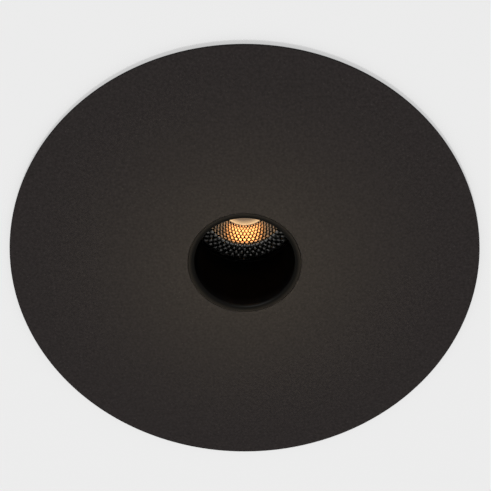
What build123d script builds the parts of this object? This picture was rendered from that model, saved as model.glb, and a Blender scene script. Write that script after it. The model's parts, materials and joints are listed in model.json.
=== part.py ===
from build123d import *
import os
from math import ceil, cos, pi, radians, sin, sqrt, tan

# Recessed downlight for a ceiling or a porch soffit. Millimetres, +Z up.
# The ceiling's lower face is z = 0: the foam gasket seals against it from below, the round
# cover plate hangs under it, and the lamp with its two spring clips stands above it.

# Cover plate
plate_diameter = 200.0
plate_thickness = 2.0
plate_edge_radius = 0.5
aperture_edge_radius = 0.5
neck_wall = 1.5
neck_rise = 4.5
neck_root_radius = 0.6

# Foam gasket between plate and ceiling
gasket_thickness = 1.5
gasket_width = 10.0
gasket_setback = 4.0

# Light well: black baffle whose nose shows in the plate, flat glass lens and its seal
baffle_mouth_radius = 21.4
baffle_mouth_edge = 1.2
baffle_nose_wall = 2.7
baffle_nose_recess = 0.15
baffle_nose_edge = 0.3
baffle_flare = 3.5
baffle_wall = 1.2
baffle_flange = 1.2
seal_bite = 2.1
seal_wall = 0.9
seal_lip = 1.0
lens_thickness = 2.0
lens_edge_chamfer = 0.3

# Faceted reflector: a cone round the LED and a flat border, both in diamond facets
optic_depth = 48.3
reflector_gap = 0.3
reflector_border = 6.6
reflector_cone_width = 6.9
reflector_cone_angle = 42.4
reflector_wall = 1.8
reflector_rim_thickness = 1.2
facets_around = 52
cone_facet_rows = 7
border_facet_rows = 4
facet_margin = 0.5
facet_rise = 0.35

# Lamp housing
housing_wall = 3.0
flange_thickness = 3.0
flange_margin = 1.0
shelf_thickness = 2.0
screw_boss_height = 12.0
housing_corner_radius = 1.0

# LED package and what clamps it
led_clamp_gap = 0.2
led_clamp_thickness = 2.7
led_clamp_margin = 1.2
led_board_size = 19.0
led_board_thickness = 1.0
led_emitter_radius = 4.5
led_emitter_thickness = 0.4
led_window_radius = 5.0
led_window_flare = 1.0
thermal_pad_thickness = 0.3
thermal_pad_margin = 0.5

# Heat sink
heat_sink_base = 4.0
fin_count = 20
fin_thickness = 1.6
fin_height = 30.0
fin_tip_step = 1.0
fin_corner_radius = 4.0
core_wall = 3.1
spigot_room = 2.5
o_ring_groove_depth = 1.2
o_ring_height = 1.6
o_ring_corner_radius = 0.5
lug_margin = 1.45

# Rear wiring box
cap_height = 16.5
cap_wall = 1.8
cap_top = 2.0
cap_edge_radius = 1.5
cap_gasket_thickness = 0.8
cap_gasket_setback = 0.2
cap_boss_margin = 1.5
cap_boss_inset = 0.2
terminal_width = 12.0
terminal_depth = 10.0
terminal_height = 9.0
terminal_screw_radius = 1.4
terminal_screw_length = 3.0
terminal_screw_sink = 0.5
terminal_chamfer = 0.5
pole_spacing = 4.4

# Leads from the LED clamp to the terminal block
lead_radius = 0.7
lead_bend_radius = 4.5
lead_plug_depth = 1.5
lead_slot_margin = 0.2
lead_offset_past_board = 2.5

# Cable gland, M12 size
gland_across_flats = 15.0
gland_thread_radius = 5.9
gland_hex_length = 4.5
gland_collar_radius = 6.4
gland_collar_length = 6.5
gland_inner_reach = 1.2
gland_fin_clearance = 0.8
gland_ring_width = 1.4
gland_ring_thickness = 1.0
gland_pad_depth = 1.5
cable_radius = 3.25
cable_room = 0.4
gland_seal_wall = 1.2
gland_seal_stand = 1.0
gland_nut_gap = 0.5
gland_nut_nose = 3.5
gland_nut_edge_radius = 1.5

# M3 screws and the plate studs
screw_radius = 1.5
screw_head_radius = 2.75
screw_head_height = 2.0
screw_socket_flats = 2.5
screw_socket_depth = 1.2
screw_grip = 8.0
screw_tip_room = 1.0
stud_radius = 1.5
stud_washer_radius = 3.5
stud_washer_thickness = 0.5
stud_nut_flats = 5.5
stud_nut_height = 2.4
stud_proud = 1.6
fixing_angles = (90, 210, 330)

# Spring clips
clip_sheet = 1.2
bracket_height = 28.0
bracket_screw_pitch = 21.0
bracket_pad_rise = 2.0
ear_radius = 4.2
ear_root = 16.0
pin_radius = 1.5
pin_head_radius = 2.5
pin_head_height = 1.0
wing_sheet = 1.0
wing_half_width = 6.6
wing_length = 45.0
wing_lug_radius = 3.4
wing_lug_length = 8.0
wing_tip_radius = 3.0
wing_drop = 3.6
rib_start = 18.0
rib_length = 16.0
rib_width = 3.0
rib_height = 0.7
stop_reach = 6.0
stop_tail = 2.0
stop_gap = 0.15
clip_rest_angle = 30.0
pad_cover = 9.0
pad_wall = 1.1
pad_end_wall = 1.6
pad_edge_radius = 0.8
pad_rest_gap = 1.0
spring_mean_radius = 2.8
spring_wire_diameter = 1.0
spring_turns = 5
spring_half_span = 4.5
spring_fixed_leg = 9.0
spring_moving_leg = 16.0

# Clearances
fit_clearance = 0.1
pin_clearance = 0.05
thread_clearance = 0.05
hole_clearance = 0.2
side_clearance = 0.3
lug_clearance = 0.4
washer_clearance = 0.5
head_clearance = 0.7

# Radii, from the light well out
plate_radius = plate_diameter / 2
baffle_nose_radius = baffle_mouth_radius + baffle_nose_wall
aperture_radius = baffle_nose_radius + fit_clearance
neck_radius = aperture_radius + neck_wall
optic_radius = baffle_mouth_radius + baffle_flare
reflector_step_radius = optic_radius - fit_clearance
facet_outer_radius = reflector_step_radius - facet_margin
reflector_bend_radius = facet_outer_radius - reflector_border
reflector_throat_radius = reflector_bend_radius - reflector_cone_width
lens_radius = optic_radius + seal_bite
seal_radius = lens_radius + fit_clearance + seal_wall
housing_bore_radius = seal_radius + fit_clearance
housing_radius = housing_bore_radius + housing_wall
stud_circle_radius = housing_radius + stud_washer_radius + washer_clearance
flange_radius = stud_circle_radius + stud_washer_radius + flange_margin
fin_tip_radius = housing_radius - fin_tip_step
lug_circle_radius = fin_tip_radius + screw_head_radius + head_clearance
lug_radius = screw_head_radius + lug_margin

# Heights, from the ceiling up
cone_slope = tan(radians(reflector_cone_angle))
plate_back = -gasket_thickness
plate_front = plate_back - plate_thickness
neck_top = plate_back + neck_rise
baffle_front = plate_front + baffle_nose_recess
reflector_front = plate_front + optic_depth
reflector_throat = reflector_front + reflector_cone_width * cone_slope
seal_top = reflector_front - reflector_gap
lens_top = seal_top - seal_lip
lens_front = lens_top - lens_thickness
seal_bottom = lens_front - seal_lip
shelf_top = seal_top + shelf_thickness
reflector_rim_top = shelf_top + reflector_rim_thickness
led_clamp_face = reflector_throat + led_clamp_gap
heat_sink_seat = led_clamp_face + led_clamp_thickness
heat_sink_deck = heat_sink_seat + heat_sink_base
core_top = heat_sink_deck + fin_height
cap_bottom = core_top + cap_gasket_thickness
cap_roof = cap_bottom + cap_height
led_board_face = heat_sink_seat - thermal_pad_thickness - led_board_thickness
terminal_screw_tip = core_top + terminal_height - terminal_screw_sink - terminal_screw_length
lead_height = terminal_screw_tip - lead_radius - fit_clearance
gland_height = core_top + gland_across_flats / 2 + gland_fin_clearance


def cone_back_radius(height):
    """Outer radius of the reflector's cone at a height."""
    return reflector_bend_radius + reflector_wall - (height - reflector_front) / cone_slope


# Places across the lamp
screw_head_end = led_clamp_face - screw_head_height
led_clamp_screw_offset = cone_back_radius(screw_head_end) + screw_head_radius + head_clearance
led_clamp_screw_length = led_clamp_thickness + heat_sink_base - 2 * screw_tip_room
led_clamp_radius = led_clamp_screw_offset + screw_head_radius + led_clamp_margin
spigot_inner_radius = led_clamp_radius + spigot_room
spigot_radius = housing_bore_radius - fit_clearance
lead_offset = led_board_size / 2 + lead_offset_past_board
lead_slot_radius = lead_radius + lead_slot_margin
core_radius = lead_offset + lead_slot_radius + core_wall
cap_inner_radius = core_radius - cap_wall
cap_boss_radius = screw_radius + cap_boss_margin
cap_screw_offset = cap_inner_radius - cap_boss_radius - cap_boss_inset
gland_pad_face = core_radius + gland_pad_depth

# The clip's own frame: pin at the origin, X outward, Y along the pin
pin_standoff = wing_lug_radius + lug_clearance
bracket_back = -pin_standoff - clip_sheet
ear_inner = wing_half_width + side_clearance
bracket_half_width = ear_inner + clip_sheet
wing_underside = wing_drop + wing_sheet
pad_end = wing_length + fit_clearance + pad_end_wall
pad_underside = wing_underside + fit_clearance + pad_wall
clip_slope = radians(clip_rest_angle)
pin_height = pad_end * sin(clip_slope) + pad_underside * cos(clip_slope) + pad_rest_gap
bracket_pad_face = housing_radius + bracket_pad_rise
pin_distance = bracket_pad_face + clip_sheet + pin_standoff


def turned(*corners):
    """Body of revolution about Z from (radius, height) corners; a third number rounds that corner."""
    profile = make_face(Polyline(*[corner[:2] for corner in corners], close=True))
    for corner in corners:
        if len(corner) == 3:
            profile = fillet(profile.vertices().sort_by_distance((corner[0], corner[1], 0))[0], corner[2])
    return revolve(Plane.XZ * profile, Axis.Z)


def ring(inner, outer, bottom, top):
    """Plain ring about Z."""
    return turned((inner, bottom), (outer, bottom), (outer, top), (inner, top))


def rod(radius, bottom, top, x=0.0, y=0.0):
    """Round bar along Z."""
    return Pos(x, y, bottom) * Cylinder(radius, top - bottom, align=(Align.CENTER, Align.CENTER, Align.MIN))


def hexagon(across_flats, bottom, top):
    """Hexagonal bar along Z with two flats facing along Y."""
    return Pos(0, 0, bottom) * extrude(RegularPolygon(across_flats / 2, 6, major_radius=False), top - bottom)


def block(x, y, z):
    """Box between (low, high) limits on each axis."""
    middle = [(low + high) / 2 for low, high in (x, y, z)]
    return Pos(*middle) * Box(x[1] - x[0], y[1] - y[0], z[1] - z[0])


def around(radius, angles):
    """Places on a circle about Z, each turned to face outward."""
    return [Rot(0, 0, angle) * Pos(radius, 0, 0) for angle in angles]


def screw(length):
    """Socket screw along Z: the head stands on z = 0, the shank goes down."""
    rounding = screw_head_height / 4
    head = turned((0, 0), (screw_head_radius, 0), (screw_head_radius, screw_head_height, rounding),
                  (0, screw_head_height))
    socket = hexagon(screw_socket_flats, screw_head_height - screw_socket_depth, screw_head_height)
    return head + rod(screw_radius, -length, 0) - socket


def screw_hole(depth):
    """Room for a screw's shank below z = 0."""
    return rod(screw_radius + thread_clearance, -depth, 0)


def group(solids):
    """Like pieces of one node, kept as separate solids."""
    return Compound(children=[solid for piece in solids for solid in piece.solids()])


# Cover plate with its neck, and what fastens it
def cover_plate():
    return turned(
        (aperture_radius, plate_front, aperture_edge_radius),
        (plate_radius, plate_front, plate_edge_radius),
        (plate_radius, plate_back, plate_edge_radius),
        (neck_radius, plate_back, neck_root_radius),
        (neck_radius, neck_top),
        (aperture_radius, neck_top),
    )


def ceiling_gasket():
    outer = plate_radius - gasket_setback
    return ring(outer - gasket_width, outer, plate_back, 0)


stud_seat = plate_back + flange_thickness
nut_seat = stud_seat + stud_washer_thickness
stud_end = nut_seat + stud_nut_height + stud_proud
stud_places = around(stud_circle_radius, fixing_angles)


def plate_studs():
    return group(place * rod(stud_radius, plate_back, stud_end) for place in stud_places)


def stud_washers():
    washer = ring(stud_radius + hole_clearance, stud_washer_radius, stud_seat, nut_seat)
    return group(place * washer for place in stud_places)


def stud_nuts():
    nut = hexagon(stud_nut_flats, nut_seat, nut_seat + stud_nut_height)
    nut -= rod(stud_radius + thread_clearance, nut_seat, nut_seat + stud_nut_height)
    return group(place * nut for place in stud_places)


# Lamp housing: a turned tube with a flange, a shelf for the optics, screw bosses and clip pads
def lug_outline(reach):
    """Rounded ear in plan, from inside the wall out to a screw."""
    return Pos(reach, 0) * Circle(lug_radius) + Pos(reach / 2, 0) * Rectangle(reach, 2 * lug_radius)


lug_places = around(lug_circle_radius, fixing_angles)


def lamp_housing():
    shell = turned(
        (0, plate_back),
        (flange_radius, plate_back),
        (flange_radius, stud_seat, housing_corner_radius),
        (housing_radius, stud_seat),
        (housing_radius, heat_sink_seat),
        (0, heat_sink_seat),
    )
    boss = extrude(lug_outline(lug_circle_radius), screw_boss_height)
    for angle in fixing_angles:
        shell += Pos(0, 0, heat_sink_seat - screw_boss_height) * Rot(0, 0, angle) * boss
    half = bracket_height / 2
    for side in (0, 180):
        pad = block((0, bracket_pad_face), (-bracket_half_width, bracket_half_width),
                    (pin_height - half, pin_height + half))
        shell += Rot(0, 0, side) * fillet(pad.edges().filter_by(Axis.X), housing_corner_radius)
    shell -= rod(housing_bore_radius, plate_back, seal_top)
    shell -= rod(optic_radius, seal_top, shelf_top)
    shell -= rod(housing_bore_radius, shelf_top, heat_sink_seat)
    for place in stud_places:
        shell -= place * rod(stud_radius + hole_clearance, plate_back, stud_seat)
    for place in lug_places:
        shell -= place * Pos(0, 0, heat_sink_seat) * screw_hole(screw_grip + screw_tip_room)
    for place in clip_places.values():
        for hole in bracket_screw_places:
            shell -= place * hole * screw_hole(clip_sheet + housing_wall + screw_tip_room)
    return shell


# Light well
def baffle():
    return turned(
        (baffle_mouth_radius, baffle_front, baffle_mouth_edge),
        (baffle_nose_radius, baffle_front, baffle_nose_edge),
        (baffle_nose_radius, neck_top),
        (housing_bore_radius - hole_clearance, neck_top),
        (housing_bore_radius - hole_clearance, neck_top + baffle_flange),
        (baffle_nose_radius, neck_top + baffle_flange),
        (optic_radius + baffle_wall, seal_bottom - baffle_flange),
        (housing_bore_radius - hole_clearance, seal_bottom - baffle_flange),
        (housing_bore_radius - hole_clearance, seal_bottom),
        (optic_radius, seal_bottom),
    )


def lens_seal():
    groove = lens_radius + fit_clearance
    return turned(
        (optic_radius, seal_bottom),
        (seal_radius, seal_bottom),
        (seal_radius, seal_top),
        (optic_radius, seal_top),
        (optic_radius, lens_top),
        (groove, lens_top),
        (groove, lens_front),
        (optic_radius, lens_front),
    )


def lens():
    return chamfer(rod(lens_radius, lens_front, lens_top).edges(), lens_edge_chamfer)


# Reflector: rows of facet corners go out from the throat, first down the cone, then across the border
facet_rows = cone_facet_rows + border_facet_rows


def facet_corner(row, index):
    """Corner of the diamond lattice: odd rows are turned by half a facet."""
    if row < cone_facet_rows:
        cone_width = reflector_bend_radius - reflector_throat_radius
        radius = reflector_throat_radius + cone_width * row / cone_facet_rows
        height = reflector_front + (reflector_bend_radius - radius) * cone_slope
    else:
        radius = reflector_bend_radius + reflector_border * (row - cone_facet_rows) / border_facet_rows
        height = reflector_front
    angle = 2 * pi * (index + row % 2 / 2) / facets_around
    return Vector(radius * cos(angle), radius * sin(angle), height)


def facet_faces():
    """Shallow four-sided pyramids, one on each diamond of the lattice, and the triangles at the throat."""
    faces = []
    for row in range(1, facet_rows):
        for index in range(facets_around):
            middle = index + row % 2
            corners = [facet_corner(row - 1, middle), facet_corner(row, index),
                       facet_corner(row + 1, middle), facet_corner(row, index + 1)]
            away = (corners[2] - corners[0]).cross(corners[3] - corners[1]).normalized()
            peak = sum(corners, Vector()) / len(corners) - away * facet_rise
            for first, second in zip(corners, corners[1:] + corners[:1]):
                faces.append(Face(Wire.make_polygon([first, second, peak])))
    for index in range(facets_around):
        corners = [facet_corner(0, index), facet_corner(1, index), facet_corner(0, index + 1)]
        faces.append(Face(Wire.make_polygon(corners)))
    return faces


def facet_edge():
    """Closed saw-tooth line round the outermost facets."""
    points = []
    for index in range(facets_around):
        points.append(facet_corner(facet_rows, index))
        points.append(facet_corner(facet_rows - 1, index + facet_rows % 2))
    return Wire.make_polygon(points)


def reflector():
    rim_radius = housing_bore_radius - fit_clearance
    foot_radius = cone_back_radius(reflector_throat)
    back = Shell.revolve(Plane.XZ * Polyline(
        (reflector_step_radius, reflector_front),
        (reflector_step_radius, shelf_top),
        (rim_radius, shelf_top),
        (rim_radius, reflector_rim_top),
        (cone_back_radius(reflector_rim_top), reflector_rim_top),
        (foot_radius, reflector_throat),
    ), 360, Axis.Z)
    border = Face(Wire.make_circle(reflector_step_radius, Plane((0, 0, reflector_front))), [facet_edge()])
    throat = Wire.make_polygon([facet_corner(0, index) for index in range(facets_around)])
    foot = Face(Wire.make_circle(foot_radius, Plane((0, 0, reflector_throat))), [throat])
    return Solid(Shell(back.faces() + [border, foot] + facet_faces()))


# LED package
def led_emitter():
    return rod(led_emitter_radius, led_board_face - led_emitter_thickness, led_board_face)


def led_board():
    half = led_board_size / 2
    return block((-half, half), (-half, half), (led_board_face, led_board_face + led_board_thickness))


def thermal_pad():
    half = led_board_size / 2 - thermal_pad_margin
    return block((-half, half), (-half, half), (heat_sink_seat - thermal_pad_thickness, heat_sink_seat))


led_clamp_screw_places = [
    Pos(side * led_clamp_screw_offset, 0, led_clamp_face) * Rot(180, 0, 0)
    for side in (-1, 1)
]
lead_places = [Pos(side * pole_spacing / 2, -lead_offset, 0) for side in (-1, 1)]


def led_clamp():
    clamp = rod(led_clamp_radius, led_clamp_face, heat_sink_seat)
    window = turned((0, led_clamp_face), (led_window_radius + led_window_flare, led_clamp_face),
                    (led_window_radius, led_board_face), (0, led_board_face))
    half = led_board_size / 2 + fit_clearance
    clamp -= window
    clamp -= block((-half, half), (-half, half), (led_board_face, heat_sink_seat))
    for place in led_clamp_screw_places:
        clamp -= place * screw_hole(led_clamp_thickness)
    for place in lead_places:
        clamp -= place * rod(lead_radius + thread_clearance, heat_sink_seat - lead_plug_depth, heat_sink_seat)
    return clamp


def led_clamp_screws():
    return group(place * screw(led_clamp_screw_length) for place in led_clamp_screw_places)


# Heat sink: a spigot that holds the reflector's rim on the shelf, flange with lugs, core and radial fins
o_ring_middle = (reflector_rim_top + heat_sink_seat) / 2


def heat_sink():
    fins = Circle(core_radius)
    for place in around(fin_tip_radius / 2, [360 * index / fin_count for index in range(fin_count)]):
        fins += place * Rectangle(fin_tip_radius, fin_thickness)
    envelope = turned((0, heat_sink_deck), (fin_tip_radius, heat_sink_deck),
                      (fin_tip_radius, core_top, fin_corner_radius), (0, core_top))
    sink = Pos(0, 0, heat_sink_deck) * extrude(fins, fin_height) & envelope
    base = Circle(housing_radius)
    for angle in fixing_angles:
        base += Rot(0, 0, angle) * lug_outline(lug_circle_radius)
    sink += Pos(0, 0, heat_sink_seat) * extrude(base, heat_sink_base)
    sink += ring(spigot_inner_radius, spigot_radius, reflector_rim_top, heat_sink_seat)
    half_groove = o_ring_height / 2 + fit_clearance
    sink -= ring(spigot_radius - o_ring_groove_depth, housing_bore_radius,
                 o_ring_middle - half_groove, o_ring_middle + half_groove)
    slot = SlotOverall(pole_spacing + 2 * lead_slot_radius, 2 * lead_slot_radius)
    sink -= Pos(0, -lead_offset, heat_sink_seat) * extrude(slot, core_top - heat_sink_seat)
    for place in lug_places:
        sink -= place * rod(screw_radius + hole_clearance, heat_sink_seat, heat_sink_deck)
    for place in led_clamp_screw_places:
        sink -= place * screw_hole(led_clamp_screw_length + screw_tip_room)
    for place in cap_screw_places:
        sink -= place * screw_hole(cap_screw_length + screw_tip_room)
    return sink


def heat_sink_o_ring():
    inner = spigot_radius - o_ring_groove_depth
    half = o_ring_height / 2
    return turned(
        (inner, o_ring_middle - half, o_ring_corner_radius),
        (housing_bore_radius, o_ring_middle - half, o_ring_corner_radius),
        (housing_bore_radius, o_ring_middle + half, o_ring_corner_radius),
        (inner, o_ring_middle + half, o_ring_corner_radius),
    )


def heat_sink_screws():
    bolt = Pos(0, 0, heat_sink_deck) * screw(heat_sink_base + screw_grip)
    return group(place * bolt for place in lug_places)


# Rear wiring box
cap_screw_seat = cap_roof - screw_head_height
cap_screw_length = cap_screw_seat - core_top + screw_grip
cap_screw_places = [Pos(side * cap_screw_offset, 0, cap_screw_seat) for side in (-1, 1)]


def rear_cap_gasket():
    return ring(cap_inner_radius, core_radius - cap_gasket_setback, core_top, cap_bottom)


def rear_cap():
    cap = turned((0, cap_bottom), (core_radius, cap_bottom),
                 (core_radius, cap_roof, cap_edge_radius), (0, cap_roof))
    half = gland_across_flats / 2
    pad = block((-half, half), (0, gland_pad_face), (cap_bottom, gland_height + half))
    cap += fillet(pad.edges().filter_by(Axis.Y).group_by(Axis.Z)[-1], cap_edge_radius)
    cap -= rod(cap_inner_radius, cap_bottom, cap_roof - cap_top)
    for place in cap_screw_places:
        cap += place * rod(cap_boss_radius, cap_bottom - cap_screw_seat, screw_head_height - cap_top)
    for place in cap_screw_places:
        cap -= place * rod(screw_head_radius + hole_clearance, 0, screw_head_height)
        cap -= place * screw_hole(cap_height)
    bore = rod(gland_thread_radius + thread_clearance, -cap_wall - gland_pad_depth - core_radius / 2, 0)
    return cap - gland_place * bore


def rear_cap_screws():
    return group(place * screw(cap_screw_length) for place in cap_screw_places)


def terminal_block():
    body = block((-terminal_width / 2, terminal_width / 2), (-terminal_depth / 2, terminal_depth / 2),
                 (core_top, core_top + terminal_height))
    body = chamfer(body.faces().sort_by(Axis.Z)[-1].edges(), terminal_chamfer)
    for place in lead_places:
        entry = Plane((place.position.X, -terminal_depth / 2, lead_height), z_dir=(0, 1, 0))
        body -= extrude(entry * Circle(lead_radius + thread_clearance), lead_plug_depth)
    for place in terminal_screw_places:
        body -= place * rod(terminal_screw_radius + thread_clearance,
                            -terminal_screw_length - terminal_screw_sink, 0)
    return body


terminal_screw_places = [
    Pos(side * terminal_width / 4, end * terminal_depth / 4, core_top + terminal_height)
    for side in (-1, 1)
    for end in (-1, 1)
]


def terminal_screws():
    bottom = -terminal_screw_length - terminal_screw_sink
    body = rod(terminal_screw_radius, bottom, -terminal_screw_sink)
    half_slit = terminal_screw_sink / 2
    slit = block((-terminal_screw_radius, terminal_screw_radius), (-half_slit, half_slit),
                 (-2 * terminal_screw_sink, -terminal_screw_sink))
    return group(place * (body - slit) for place in terminal_screw_places)


def lead(place):
    """Insulated wire: straight up from the clamp through the heat sink, one bend, into the block."""
    x, y = place.position.X, place.position.Y
    start = (x, y, heat_sink_seat - lead_plug_depth)
    route = FilletPolyline(start, (x, y, lead_height), (x, lead_plug_depth - terminal_depth / 2, lead_height),
                           radius=lead_bend_radius)
    return sweep(Plane(start) * Circle(lead_radius), path=route)


# Cable gland, built along Z with its washer face at z = 0 and turned to face +Y
gland_place = Pos(0, gland_pad_face, gland_height) * Rot(-90, 0, 0)
gland_bore_radius = cable_radius + gland_seal_wall
gland_hex_end = gland_ring_thickness + gland_hex_length
gland_collar_end = gland_hex_end + gland_collar_length
gland_nut_start = gland_hex_end + gland_nut_gap
gland_nut_end = gland_collar_end + gland_nut_nose


def gland_o_ring():
    inner = gland_thread_radius + fit_clearance
    return gland_place * ring(inner, inner + gland_ring_width, 0, gland_ring_thickness)


def gland_body():
    inner_end = -gland_pad_depth - cap_wall - gland_inner_reach
    stub = rod(gland_thread_radius, inner_end, gland_ring_thickness)
    body = stub + hexagon(gland_across_flats, gland_ring_thickness, gland_hex_end)
    body += rod(gland_collar_radius, gland_hex_end, gland_collar_end)
    body -= rod(cable_radius + cable_room, inner_end, gland_ring_thickness)
    body -= rod(gland_bore_radius + fit_clearance, gland_ring_thickness, gland_collar_end)
    return gland_place * body


def gland_seal():
    return gland_place * ring(cable_radius, gland_bore_radius, gland_ring_thickness,
                              gland_collar_end + gland_seal_stand)


def gland_nut():
    grip = hexagon(gland_across_flats, gland_nut_start, gland_nut_end)
    half = gland_across_flats / 2
    dome = turned((0, gland_nut_start), (half / cos(pi / 6), gland_nut_start),
                  (half / cos(pi / 6), gland_collar_end), (half, gland_nut_end, gland_nut_edge_radius),
                  (0, gland_nut_end))
    nut = grip & dome
    nut -= rod(gland_collar_radius + thread_clearance, gland_nut_start, gland_collar_end)
    nut -= rod(gland_bore_radius + fit_clearance, gland_collar_end, gland_nut_end)
    return gland_place * nut


# Spring clips: the same clip twice, turned half a turn about Z
right_place = Pos(pin_distance, 0, pin_height)
clip_places = {"left": Rot(0, 0, 180) * right_place, "right": right_place}
bracket_screw_places = [
    Pos(-pin_standoff, 0, side * bracket_screw_pitch / 2) * Rot(0, 90, 0)
    for side in (-1, 1)
]
rest_turn = Rot(0, clip_rest_angle, 0)


def upright(sketch, start, end):
    """Plate of a side outline, drawn outward and up, between two stations along the pin."""
    return extrude(Plane((0, end, 0), x_dir=(1, 0, 0), z_dir=(0, -1, 0)) * sketch, end - start)


def both_sides(sketch, inner, outer):
    return upright(sketch, inner, outer) + upright(sketch, -outer, -inner)


def clip_bracket():
    half = bracket_half_width
    bracket = block((bracket_back, -pin_standoff), (-half, half), (-bracket_height / 2, bracket_height / 2))
    root = Pos(bracket_back + clip_sheet / 2, 0) * Rectangle(clip_sheet, ear_root)
    ear = make_hull(Circle(ear_radius).edges() + root.edges())
    bracket += both_sides(ear, ear_inner, half)
    stop_top = -wing_underside - stop_gap
    bracket += rest_turn * block((-stop_tail, stop_reach), (-half, half), (stop_top - clip_sheet, stop_top))
    bracket -= upright(Circle(pin_radius + pin_clearance), -half, half)
    for hole in bracket_screw_places:
        bracket -= hole * screw_hole(clip_sheet)
    return bracket


def clip_screws():
    return group(hole * screw(clip_sheet + housing_wall) for hole in bracket_screw_places)


def clip_pin():
    half = bracket_half_width
    pin = upright(Circle(pin_radius), -half, half)
    return pin + both_sides(Circle(pin_head_radius), half, half + pin_head_height)


def clip_wing():
    half = wing_half_width
    sheet = block((0, wing_length), (-half, half), (-wing_underside, -wing_drop))
    sheet = fillet(sheet.edges().filter_by(Axis.Z).group_by(Axis.X)[-1], wing_tip_radius)
    foot = Pos(wing_lug_length / 2, -wing_drop - wing_sheet / 2) * Rectangle(wing_lug_length, wing_sheet)
    lug = make_hull(Circle(wing_lug_radius).edges() + foot.edges())
    wing = sheet + both_sides(lug, half - wing_sheet, half)
    rib = extrude(SlotOverall(rib_length, rib_width), rib_height)
    rib = Pos(rib_start + rib_length / 2, 0, -wing_drop) * rib
    wing += fillet(rib.edges().group_by(Axis.Z)[-1], rib_height / 2)
    wing -= upright(Circle(pin_radius + pin_clearance), -half, half)
    return rest_turn * wing


def clip_pad():
    half = wing_half_width + fit_clearance
    top = fit_clearance - wing_drop
    bottom = -wing_underside - fit_clearance
    start = wing_length - pad_cover
    sleeve = block((start, pad_end), (-half - pad_wall, half + pad_wall), (bottom - pad_wall, top + pad_wall))
    sleeve = fillet(sleeve.edges().filter_by(Axis.Z).group_by(Axis.X)[-1], wing_tip_radius)
    sleeve = fillet(sleeve.edges().filter_by(Axis.X), pad_edge_radius)
    slot = block((start, wing_length + fit_clearance), (-half, half), (bottom, top))
    slot = fillet(slot.edges().filter_by(Axis.Z).group_by(Axis.X)[-1], wing_tip_radius)
    return rest_turn * (sleeve - slot)


# Torsion spring: a coil round the pin with one leg up the bracket and one leg along the wing
coil_angle = 2 * pi * spring_turns + pi / 2 - clip_slope
coil_steps = ceil(coil_angle / (pi / 2))
coil_ease = coil_angle / coil_steps
coil_rate = 2 * spring_half_span / (coil_angle - coil_ease)


def coil_travel(angle):
    """Distance along the pin and its rate of change: level at both ends, steady between."""
    if angle < coil_ease:
        return coil_rate * angle**2 / (2 * coil_ease), coil_rate * angle / coil_ease
    if angle > coil_angle - coil_ease:
        travel, rate = coil_travel(coil_angle - angle)
        return 2 * spring_half_span - travel, rate
    return coil_rate * (angle - coil_ease / 2), coil_rate


def coil_point(angle):
    """Place and direction of the wire's middle line after winding through an angle."""
    travel, rate = coil_travel(angle)
    radius = spring_mean_radius
    place = Vector(-radius * cos(angle), travel - spring_half_span, -radius * sin(angle))
    direction = Vector(radius * sin(angle), rate, -radius * cos(angle))
    return place, direction.normalized()


def biarc(start, start_direction, end, end_direction):
    """Two arcs that meet smoothly and keep the given directions at both ends."""
    chord = end - start
    both = start_direction + end_direction
    spread = 2 * (1 - start_direction.dot(end_direction))
    reach = (sqrt(chord.dot(both) ** 2 + spread * chord.dot(chord)) - chord.dot(both)) / spread
    middle = (start + end + (start_direction - end_direction) * reach) / 2
    middle_direction = (end - end_direction * reach - start - start_direction * reach).normalized()
    return [TangentArc(start, middle, tangent=start_direction),
            TangentArc(middle, end, tangent=middle_direction)]


def spring_route():
    stations = [coil_point(coil_ease * step) for step in range(coil_steps + 1)]
    first, first_direction = stations[0]
    last, last_direction = stations[-1]
    edges = [Line(first - first_direction * spring_fixed_leg, first)]
    for (start, start_direction), (end, end_direction) in zip(stations, stations[1:]):
        edges += biarc(start, start_direction, end, end_direction)
    edges.append(Line(last, last + last_direction * spring_moving_leg))
    return Wire([edge.edge() for edge in edges])


def clip_spring(route):
    return sweep(Plane(route @ 0, z_dir=route % 0) * Circle(spring_wire_diameter / 2), path=route)


def least_gap(route, wire):
    """Smallest space between stretches of the wire that lie more than half a turn apart."""
    count = 300
    points = [route @ (index / count) for index in range(count + 1)]
    skip = ceil(pi * spring_mean_radius / (route.length / count))
    return min((a - b).length for index, a in enumerate(points) for b in points[index + skip:]) - wire


clip_spring_route = spring_route()
print("clip spring: least gap to itself", round(least_gap(clip_spring_route, spring_wire_diameter), 2), "mm")

solids = {
    "cover_plate": cover_plate(),
    "ceiling_gasket": ceiling_gasket(),
    "plate_studs": plate_studs(),
    "stud_washers": stud_washers(),
    "stud_nuts": stud_nuts(),
    "lamp_housing": lamp_housing(),
    "baffle": baffle(),
    "lens_seal": lens_seal(),
    "lens": lens(),
    "reflector": reflector(),
    "led_emitter": led_emitter(),
    "led_board": led_board(),
    "thermal_pad": thermal_pad(),
    "led_clamp": led_clamp(),
    "led_clamp_screws": led_clamp_screws(),
    "heat_sink": heat_sink(),
    "heat_sink_o_ring": heat_sink_o_ring(),
    "heat_sink_screws": heat_sink_screws(),
    "rear_cap_gasket": rear_cap_gasket(),
    "rear_cap": rear_cap(),
    "rear_cap_screws": rear_cap_screws(),
    "terminal_block": terminal_block(),
    "terminal_screws": terminal_screws(),
    "lead_negative": lead(lead_places[0]),
    "lead_positive": lead(lead_places[1]),
    "gland_o_ring": gland_o_ring(),
    "gland_body": gland_body(),
    "gland_seal": gland_seal(),
    "gland_nut": gland_nut(),
}
clip_pieces = {
    "bracket": clip_bracket(),
    "screws": clip_screws(),
    "pin": clip_pin(),
    "spring": clip_spring(clip_spring_route),
    "wing": clip_wing(),
    "pad": clip_pad(),
}
for side, place in clip_places.items():
    for name, piece in clip_pieces.items():
        solids[f"{side}_clip_{name}"] = place * piece

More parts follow.
